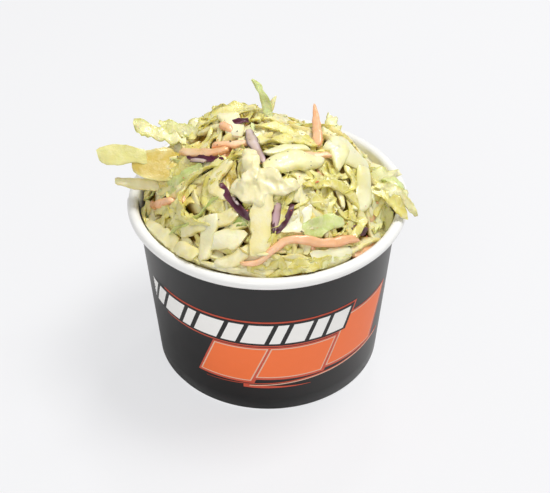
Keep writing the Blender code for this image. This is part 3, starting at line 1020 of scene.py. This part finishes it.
# kind, plan path, widths, thickness, roll and twist in degrees, level above the mound
HAND_LAID = [
    ("rib", [(-40, -11), (-34.5, -20.5), (-28.5, -28.5), (-21.5, -35.5)],
     [4, 6, 6.5, 4.5], 2.4, -12, 10, 2.2),
    ("leaf", [(-40, -5), (-40.5, -10), (-39, -15)], [2.5, 3.5, 2.5], 1.2, -20, 20, 1.2),
    ("pale", [(-16, -27), (-18, -33), (-19, -37)], [4, 5, 4], 2.2, 0, 10, 1.8),
    ("pale", [(-17, -33), (-12, -34), (-7, -35)], [5.5, 6.5, 5.5], 2.4, -5, 0, 1.2),
    ("rib", [(-16, -38), (-10.5, -38.5), (-5, -37)], [3, 4, 4], 2.0, 0, 0, 1.4),
    ("leaf", [(0, -37), (4, -35), (9, -34)], [4, 6, 5], 1.4, 10, 0, 0.5),
    ("leaf", [(-6, -40), (-1, -40), (3, -39)], [3, 4, 2], 1.2, 25, 30, 1.0),
    ("pale", [(-12, -40), (-6, -41), (0, -41)], [3, 4, 3], 1.3, 15, 20, 0.2),
    ("leaf", [(-1, -41.5), (6, -41), (12, -39.5)], [2.5, 3.5, 2.5], 1.2, 15, 20, 0.4),
    ("frill", [(10, -39), (18, -37), (25, -33)], [2.5, 4, 2.5], 1.2, 15, 20, 0.2),
    ("leaf", [(-33, -25), (-27, -31), (-20, -37)], [2.5, 3.5, 2.5], 1.2, 25, 20, 0.8),
    ("pale", [(-24, -34), (-18, -38), (-12, -40)], [2.5, 3.5, 2.5], 1.3, 20, 20, 0.6),
    ("leaf", [(6, -40), (12, -39), (19, -36)], [3, 5, 3], 1.2, 0, 30, 1.0),
    ("pale", [(13, -37), (19, -35), (25, -31)], [4, 5, 3], 1.4, 10, 0, 1.0),
    ("leaf", [(-28, -16), (-27, -22), (-24, -28)], [5, 6, 4], 1.4, 0, 20, 0.3),
    ("rib", [(-26, -27), (-19, -28), (-13, -29), (-9, -28)], [4, 5, 5, 4], 2.0, -10, 0, 1.2),
    ("leaf", [(-33, -4), (-29, -6), (-24, -5)], [5, 6, 5], 1.3, 0, 20, 0.2),
    ("pale_green", [(-34, -7), (-28, -10), (-20, -11)], [4, 5, 4], 1.3, 10, 30, 0.8),
    ("leaf", [(-37, -9), (-33, -14), (-28, -18), (-26, -14)], [2, 2.5, 2.5, 2], 1.2, 20, 40, 0.8),
    ("leaf", [(-13, -12), (-19, -12), (-25, -14), (-27, -20), (-24, -26), (-17, -30)],
     [3, 4, 5, 5.5, 5, 3.5], 1.3, 35, 20, 1.6),
    ("carrot", [(-37, -6), (-34, -11), (-29, -16)], [2, 3.2, 2.0], 2.2, 0, 0, 1.6),
    ("leaf", [(-7, -10), (-13, -13), (-17, -17), (-18, -22), (-13, -27)], [3, 5, 5, 5, 4], 1.6, 15,
     -20, 1.0),
    ("rib", [(-11, -13), (-15, -17), (-16, -21), (-12, -24)], [3, 4, 4, 3], 1.8, 0, 0, 1.4),
    ("green", [(-14, -29), (-9, -30), (-5, -31)], [2.5, 3.5, 3], 1.2, 0, 20, 0.6),
    ("olive", [(9, -27), (14, -28), (20, -25)], [5, 8, 5], 1.2, 0, 10, 0.4),
    ("pale", [(4, -33), (9, -31), (13, -28)], [2, 7, 8], 1.3, -5, 0, 1.0),
    ("pale_green", [(10.5, -33), (14, -31), (18, -28.5), (23, -26)], [4, 6.4, 5, 2], 1.4, 15, -20, 1.6),
    ("leaf", [(20, -20), (18, -24), (19, -29)], [3, 3.5, 3], 1.2, 10, 0, 0.8),
    ("leaf", [(11, -22), (17, -19), (23, -17), (28, -19), (28, -24), (25, -29)],
     [2.4, 3, 3, 3, 3, 2.2], 1.5, 10, 30, 1.7),
    ("leaf", [(12, -24), (17, -24), (21, -22)], [3, 4.5, 3], 1.2, 10, 0, 0.9),
    ("carrot", [(25, -31), (30, -26), (34, -20)], [2.5, 3, 3], 2.2, 0, 0, -1.0),
    ("red", [(25, -26), (30, -23)], [3, 3], 1.6, 10, 0, 0.5),
    ("leaf", [(27, -16), (33, -13), (38, -9)], [4, 5, 4], 1.2, 0, 30, 0.5),
    ("leaf", [(33, -1), (36, -7), (33, -13)], [3, 5, 3], 1.2, 20, 30, 1.0),
    ("smooth", [(18, -3), (24, -3), (31, -3)], [7, 11, 7], 1.5, 0, 0, 0.9),
    ("smooth", [(22, -1), (22, -6), (21, -12)], [7, 6.5, 2.0], 1.4, 0, 10, 1.4),
    ("smooth", [(30, -4), (30, -11), (27, -20)], [6, 8, 4], 1.5, 0, 20, 1.6),
    ("frill", [(32, -9), (34, -14), (32, -19)], [2.5, 4, 2], 1.1, 30, 40, 1.4),
    ("frill", [(36, -6), (38, -11), (37, -16)], [2, 4, 2], 1.1, 10, 40, 1.4),
    ("leaf", [(24, -9), (26, -14), (23, -18)], [1.4, 2.0, 1.4], 1.0, 20, 60, 1.6),
    ("pale_carrot", [(-27.5, 1), (-23, -3), (-17, -7), (-12, -8)], [2.2, 3.2, 3, 2], 2.2, 0, 0, 1.0),
    ("pale_carrot", [(-17, -4), (-11, -6), (-6, -6)], [2, 2.8, 2.2], 2.0, 0, 0, 1.0),
    ("red", [(-25, -4), (-19, -8), (-13, -12)], [1.4, 2.4, 1.8], 1.0, 10, 20, 1.3),
    ("lilac", [(-24, -6), (-19, -9.5)], [1.2, 1.6], 0.9, 10, 20, 1.6),
    ("pale", [(-13, 9), (-11, 4), (-10, -2)], [6, 7, 5], 2.0, 0, 0, 0.8),
    ("leaf", [(-19, 8), (-12, 11), (-4, 12)], [3, 6.5, 3], 1.2, 10, 20, 0.8),
    ("red", [(-11, 3), (-6, 4)], [2, 2.4], 1.2, 0, 0, 1.6),
    ("carrot", [(-15, 3), (-11, 0)], [2.4, 2.6], 2.0, 0, 0, 1.2),
    ("leaf", [(-4, 2), (3, 2), (9, -2), (14, -5)], [2, 3.4, 3.4, 2.4], 1.3, 10, 20, 1.3),
    ("leaf", [(-3, -5), (2, -5), (8, -4), (15, -5)], [3, 4.5, 4.5, 3], 1.4, -5, 10, 1.2),
    ("smooth", [(-1, -12), (5, -9), (12, -7)], [2.5, 4, 3], 1.4, 0, 0, 1.0),
    ("pale_carrot", [(6, -13), (12, -10), (19, -8)], [1.8, 2.4, 2.0], 1.8, 0, 0, 0.9),
    ("lilac", [(-6, 0), (-5, -6), (-3, -12), (-1, -17)], [2.0, 3.8, 3.0, 1.6], 1.4, 0, 10, 1.8),
    ("red", [(-14, -20), (-11.5, -24.5), (-8, -28.5), (-5, -31)], [1.5, 2.2, 2.4, 1.9], 1.1, 0, 40, 1.7),
    ("lilac", [(-10.5, -25), (-8.5, -27.5)], [1.0, 0.9], 0.8, 0, 0, 2.3),
    ("lilac", [(3, -27), (2.5, -30), (2, -33.5)], [2.0, 2.6, 1.6], 1.2, 0, 0, 1.0),
    ("red", [(7.5, -27), (6, -30.5), (2.5, -34.5)], [1.2, 2.0, 1.1], 1.0, 10, 20, 1.6),
    ("red", [(1.5, -28), (1.5, -31), (2, -34.5)], [0.8, 1.1, 0.8], 0.9, 0, 20, 1.5),
    ("smooth", [(-1, -20), (3, -17), (9, -14), (17, -11)], [5, 8, 8, 3], 2.0, 0, 0, 1.6),
]


def lay_by_hand(rows, draw, batch=None):
    """Lays rows of listed shreds, given in millimetres and degrees."""
    for kind, plan, widths, thick, roll, twist, level in rows:
        lay_shred(kind, np.array(plan) * MM, np.array(widths) * MM, thick * MM, roll=math.radians(roll),
                  twist=math.radians(twist), stiffness=5, draw=draw, level=level * MM, batch=batch)
    print("laid by hand:", len(rows))


lay_by_hand(HAND_LAID, HAND)

# %% The knot, its hanging strip, and the long carrot in front
KNOT = [
    ("pale", [(-10, -21), (-8, -24), (-4, -26), (-1, -27)], [4.5, 6, 6, 5], 3.6, 0, 0, 1.6),
    ("pale", [(-7, -12), (-5, -15), (-5, -20), (-3, -24)], [3.5, 5.5, 5, 5], 3.6, -10, 20, 1.9),
    ("pale", [(-3, -25), (1, -24.5), (5, -24), (8.5, -22)], [5, 5.5, 5, 4], 3.4, 5, 10, 1.6),
    ("pale", [(-8, -23), (-5, -22), (-2, -22)], [3.5, 4.5, 4], 3.2, 0, 0, 2.6),
    ("pale", [(-3, -21), (1, -21.5), (4, -24)], [3, 4, 3], 2.8, 0, 0, 2.4),
]
IN_FRONT = [
    ("rib", [(-1, -25), (-2, -31), (-2, -35), (-3, -39)], [6, 6.5, 6.5, 5.5], 2.2, 0, 0, 2.0),
    ("carrot", [(-8, -39.8), (-4, -40), (1, -38), (5, -36), (10, -35), (16, -34), (21, -32), (27, -28)],
     [1.2, 2.0, 2.3, 2.6, 2.8, 2.9, 2.9, 2.2], 2.3, 0, 0, 2.2),
    ("leaf", [(2, -38), (4, -40), (5, -41)], [2.5, 3, 2.5], 1.2, 0, 0, 1.5),
]
lay_by_hand(KNOT, HAND, batch="knot")
lay_by_hand(IN_FRONT, HAND)

# %% [markdown]
# The longest leaves reach out of the heap into the air, where nothing holds them but their own
# stiffness. Their paths are given in full, with heights, and follow the ones of the plain solid, so
# that the finished heap keeps its outline.

# %% Leaves that reach out
# kind, points in millimetres from the tub's axis, widths, thickness, roll and twist in degrees
REACHING = [
    ("paddle", [(-53.2, -2, 77.6), (-50, -2, 77.6), (-47, -2, 77.6), (-44, -2, 77.8), (-41.5, -2, 77.6),
                (-38, -2, 76.6)],
     [4.2, 6.8, 7.4, 6.2, 4.8, 5.0], 1.3, 0, 0),
    ("broad", [(-42.6, -3.0, 76.2), (-39.2, -3.4, 75.4), (-35, -3.2, 74.9), (-31.5, -2.2, 74.2),
               (-27.6, 0.0, 73.2)],
     [5.5, 9.4, 11.2, 11.2, 8.5], 1.2, 0, 10),
    ("frill", [(-42.8, 10, 82.4), (-39.7, 9, 80.8), (-36, 8, 79.2), (-31.5, 7, 78.3), (-26, 5, 78)],
     [2.5, 5.5, 5.0, 4.0, 4.0], 1.2, -10, -20),
    ("frill", [(-35, 12, 80.4), (-31, 11, 79.5), (-27, 9, 79.3), (-22, 7, 78)],
     [2.0, 4.5, 5.0, 4.0], 1.1, 10, 30),
    ("frill", [(-20, 14, 80.6), (-23.5, 12, 79.9), (-27, 9, 79)], [2.0, 4.5, 4.0], 1.1, 0, 30),
    ("pale", [(-48.3, -4, 69), (-44.5, -4, 68.5), (-38, -4, 67.5), (-28, -3, 66)],
     [2.4, 3.8, 3.6, 3], 1.5, 0, 0),
    ("pale_green", [(-4.7, 12, 96.6), (-3.2, 12, 94), (-1.6, 11, 91), (-0.2, 10, 86.5), (0.6, 9, 82)],
     [0.8, 2.2, 3.0, 2.6, 2.2], 1.0, 0, 50),
    ("pale", [(2.2, 14, 89), (1.2, 12.5, 87.3), (0, 11, 84.5)], [1.2, 2.6, 2.6], 1.0, 20, 30),
    ("carrot", [(14.6, 11.2, 87.6), (15, 6, 86), (15.3, 0, 85), (15.1, -5, 83.2)],
     [0.9, 2.3, 3.1, 3.3], 1.9, 15, 30),
    ("frill", [(20.2, 13, 82.8), (20.3, 10, 82.2), (19.5, 6, 81.6), (17, 2, 80)],
     [2.5, 5, 5.5, 4], 1.3, 0, 20),
    ("frill", [(42.2, 3, 67.8), (39.5, 0, 68.4), (35, -2, 69.6), (29, -3, 70.5)],
     [1.6, 4.0, 5.5, 5.0], 1.2, -20, 30),
    ("pale", [(38, 3, 66.8), (34, 2, 69), (28, 1, 71.5)], [3, 6, 6], 1.2, 10, 0),
    ("pale_green", [(43.4, -4, 66.2), (41, -5, 68.4), (36, -4, 70)], [1.8, 4, 3.6], 1.1, 30, 40),
    ("frill", [(46.4, -12.5, 61.6), (44, -11, 65), (40, -9, 68), (34, -7, 70)],
     [1.6, 3.4, 4.2, 3.6], 1.2, -15, 30),
    ("frill", [(44.5, -8, 64.6), (42, -8, 67), (37, -6, 69.5)], [2, 4.2, 4], 1.1, 20, -40),
    ("leaf", [(43, -15, 62.4), (41, -13, 65.4), (37, -10, 67.6), (32, -8, 69.5)],
     [1.8, 4.0, 3.6, 3], 1.2, 0, 30),
]
FACE_UP = (0.0, -0.55, 0.83)
for kind, points, widths, thick, roll, twist in REACHING:
    path = smooth_path(np.array(points) * MM, LAY_STEP) + np.array([AXIS_X, AXIS_Y, 0])
    turn = math.radians(roll) + math.radians(twist) * np.linspace(-0.5, 0.5, len(path))
    own = LOOKS[kind]
    sweep(batches[own.batch], path, np.array(widths) * MM, thick * MM, turn, own, HAND, up=FACE_UP)
print("reaching leaves:", len(REACHING))

# %% [markdown]
# Ground pepper and red spice cling to the dressing. Each fleck is a tiny chip with eight faces, set
# on the highest thing under it, on the open top of the heap and clear of the tub's wall.

# %% Flecks of spice
PEPPER, PAPRIKA = (0.05, 0.04, 0.02), (0.62, 0.13, 0.05)
CHIP = np.array([(1, 0, 0), (0, 1, 0), (-1, 0, 0), (0, -1, 0), (0, 0, 0.7), (0, 0, -0.7)])
CHIP_FACES = [(0, 1, 4), (1, 2, 4), (2, 3, 4), (3, 0, 4), (1, 0, 5), (2, 1, 5), (3, 2, 5), (0, 3, 5)]
on_top = (away < WALL_TOP - 4 * MM) & (support > surface - 3 * MM)
fleck_cells = np.argwhere(on_top)


def scatter_flecks(count, smallest, largest, colour, draw):
    """Sets small chips on the heap's top, each turned and stretched its own way."""
    batch = batches["spice"]
    for _ in range(count):
        i, j = fleck_cells[draw.randrange(len(fleck_cells))]
        size = draw.uniform(smallest, largest) * MM
        stretch = np.array([draw.uniform(0.6, 1.5), draw.uniform(0.6, 1.2), draw.uniform(0.5, 0.9)])
        angle = draw.uniform(0, math.pi)
        c, s = math.cos(angle), math.sin(angle)
        turn = np.array([[c, -s, 0], [s, c, 0], [0, 0, 1]])
        place = np.array([AXIS_X + centres[i], AXIS_Y + centres[j], support[i, j]])
        points = (CHIP * stretch * size / 2) @ turn.T + place
        batch.add(points, CHIP_FACES, [(*colour, 1.0)] * len(CHIP))
    print("flecks so far:", batch.count)


scatter_flecks(130, 0.3, 0.7, PEPPER, HAND)
scatter_flecks(70, 0.3, 0.8, PAPRIKA, HAND)

# %% [markdown]
# ## Finish of the slaw
# Every kind has the same make-up: its colour from the corners, with the painted shade of the heap's
# gaps in it, a patchy film of cream dressing over it where the fourth number allows, faint veins on
# leaves, and a wet coat over soft relief.
# Light enters cabbage a little way, so it has some subsurface scattering.

# %% Slaw materials
VEIN = (0.86, 0.82, 0.52)
BLOTCH_SCALE, BEND_SCALE, VEIN_SCALE, GRAIN_SCALE = 420, 160, 330, 1500
VEIN_BEND, VEIN_WIDTH = 0.006, 0.09
LIGHT_DEPTH = 0.8 * MM
LIGHT_COLOUR = (1.0, 0.75, 0.30)


def slaw_material(name, roughness, glow, coat, film, veins=0.0):
    """Dressed vegetable: its corner colour, with painted shade in the gaps, under a thin, uneven film of
    cream dressing.
    """
    made, tree = new_material(name)
    place = node(tree, "ShaderNodeTexCoord").outputs["Object"]
    tint = node(tree, "ShaderNodeVertexColor", layer_name="tint").outputs
    blotch = noise_value(tree, place, BLOTCH_SCALE, 5, Roughness=0.6)
    patches = remap(tree, blotch, (0.48, 0.66), (0.0, film))
    # The cream film is thinner where the corners' fourth number is low, and deep in the heap that is
    # painted shade.
    share = node(tree, "ShaderNodeMath", {0: patches, 1: tint["Alpha"]}, operation="MULTIPLY")
    colour = mix_colours(tree, share.outputs[0], tint["Color"], (*CREAM, 1))
    bent = node(tree, "ShaderNodeTexNoise", {"Vector": place, "Scale": BEND_SCALE, "Detail": 2})
    inputs = {"Factor": VEIN_BEND, 4: place, 5: bent.outputs["Color"]}
    warped = node(tree, "ShaderNodeMix", inputs, data_type="VECTOR")
    inputs = {"Vector": warped.outputs[1], "Scale": VEIN_SCALE}
    cells = node(tree, "ShaderNodeTexVoronoi", inputs, feature="DISTANCE_TO_EDGE")
    vein = remap(tree, cells.outputs["Distance"], (0.0, VEIN_WIDTH), (veins, 0.0))
    colour = mix_colours(tree, vein, colour, (*VEIN, 1))
    relief = node(tree, "ShaderNodeMath", {0: blotch, 1: vein}, operation="ADD").outputs[0]
    bump = node(tree, "ShaderNodeBump", {"Height": relief, "Strength": 0.5, "Distance": 0.0006})
    fine = noise_value(tree, place, GRAIN_SCALE, 4)
    inputs = {"Height": fine, "Normal": bump.outputs[0], "Strength": 0.2, "Distance": 0.0002}
    grain = node(tree, "ShaderNodeBump", inputs)
    wet = remap(tree, blotch, (0.35, 0.65), (roughness * 0.75, roughness * 1.25))
    shader = node(tree, "ShaderNodeBsdfPrincipled", {
        "Base Color": colour, "Roughness": wet, "Normal": grain.outputs[0],
        "Subsurface Weight": glow, "Subsurface Scale": LIGHT_DEPTH,
        "Subsurface Radius": LIGHT_COLOUR, "Coat Weight": coat, "Coat Roughness": 0.10})
    finish_material(tree, shader.outputs[0])
    return made


MATERIALS = {
    "rib": slaw_material("dressed_cabbage_rib", 0.38, 0.30, 0.30, 0.60),
    "leaf": slaw_material("dressed_cabbage_leaf", 0.36, 0.30, 0.35, 0.40, veins=0.30),
    "green": slaw_material("dressed_green_leaf", 0.34, 0.25, 0.35, 0.30, veins=0.25),
    "carrot": slaw_material("dressed_carrot", 0.34, 0.30, 0.35, 0.15),
    "red": slaw_material("dressed_red_cabbage", 0.36, 0.05, 0.10, 0.02),
    "knot": slaw_material("dressed_knot", 0.38, 0.30, 0.35, 0.7),
    "spice": slaw_material("spice_flecks", 0.60, 0.0, 0.1, 0.0),
}

# %% Shreds to meshes
PIECE_NAMES = {
    "rib": "cabbage_ribs", "leaf": "cabbage_leaf_strips", "green": "green_leaf",
    "carrot": "carrot_strands", "red": "red_cabbage", "knot": "creamy_knot", "spice": "spice_flecks"}
SHARP_DEGREES = {"rib": 42, "spice": 10}
KNOT_COLOUR = (0.85, 0.79, 0.46, 1.0)
# Painted shade: the core is a dark brown that stands for the deep shadow seen down the gaps, and it
# carries no dressing.
CORE_SHADE_COLOUR = (0.34, 0.20, 0.016, 0.0)


def paint(mesh, colours):
    """Stores the colours that the materials read: one for each corner, or one for all."""
    for name in [old.name for old in mesh.color_attributes]:
        mesh.color_attributes.remove(mesh.color_attributes[name])
    tint = mesh.color_attributes.new("tint", "FLOAT_COLOR", "POINT")
    rgba = np.broadcast_to(np.array(colours, np.float32), (len(mesh.vertices), 4))
    tint.data.foreach_set("color", rgba.ravel())


def make_piece(batch, name, material):
    """One joined mesh of all shreds of a kind, with its colours as an attribute."""
    obj = mesh_object(name, batch.verts, batch.faces)
    paint(obj.data, batch.colours)
    tidy_normals(obj.data, SHARP_DEGREES.get(batch.name, 60))
    obj.data.materials.append(material)
    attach(obj, "root")
    triangles = sum(len(p.vertices) - 2 for p in obj.data.polygons)
    print(f"{name}: {batch.count} shreds, {triangles} triangles")
    return obj


KNOT_VOXEL = 0.35 * MM


def fuse_knot(obj):
    """Melts the knot's shreds into one lump under the dressing, and colours it again."""
    for vertex in obj.data.vertices:
        at = vertex.co / MM
        push = 0.9 * noise.noise(at * 0.35) + 0.8 * noise.noise(at * 0.9 + Vector((7, 3, 1)))
        vertex.co += vertex.normal * push * MM
    fuse = obj.modifiers.new("fuse", "REMESH")
    fuse.mode = "VOXEL"
    fuse.voxel_size = KNOT_VOXEL
    soft = obj.modifiers.new("soft", "SMOOTH")
    soft.iterations = 4
    soft.factor = 0.5
    evaluated = obj.evaluated_get(bpy.context.evaluated_depsgraph_get())
    mesh = bpy.data.meshes.new_from_object(evaluated)
    obj.modifiers.clear()
    mesh.materials.clear()
    mesh.materials.append(MATERIALS["knot"])
    paint(mesh, KNOT_COLOUR)
    obj.data = mesh
    mesh.shade_smooth()
    print("knot fused:", len(mesh.polygons), "faces")


for kind, batch in batches.items():
    made = make_piece(batch, PIECE_NAMES[kind], MATERIALS[kind])
    if kind == "knot":
        fuse_knot(made)
core.data.materials.append(MATERIALS["rib"])
# The core's dark brown is painted shade.
paint(core.data, CORE_SHADE_COLOUR)
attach(core, "root")
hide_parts("slaw_heap")
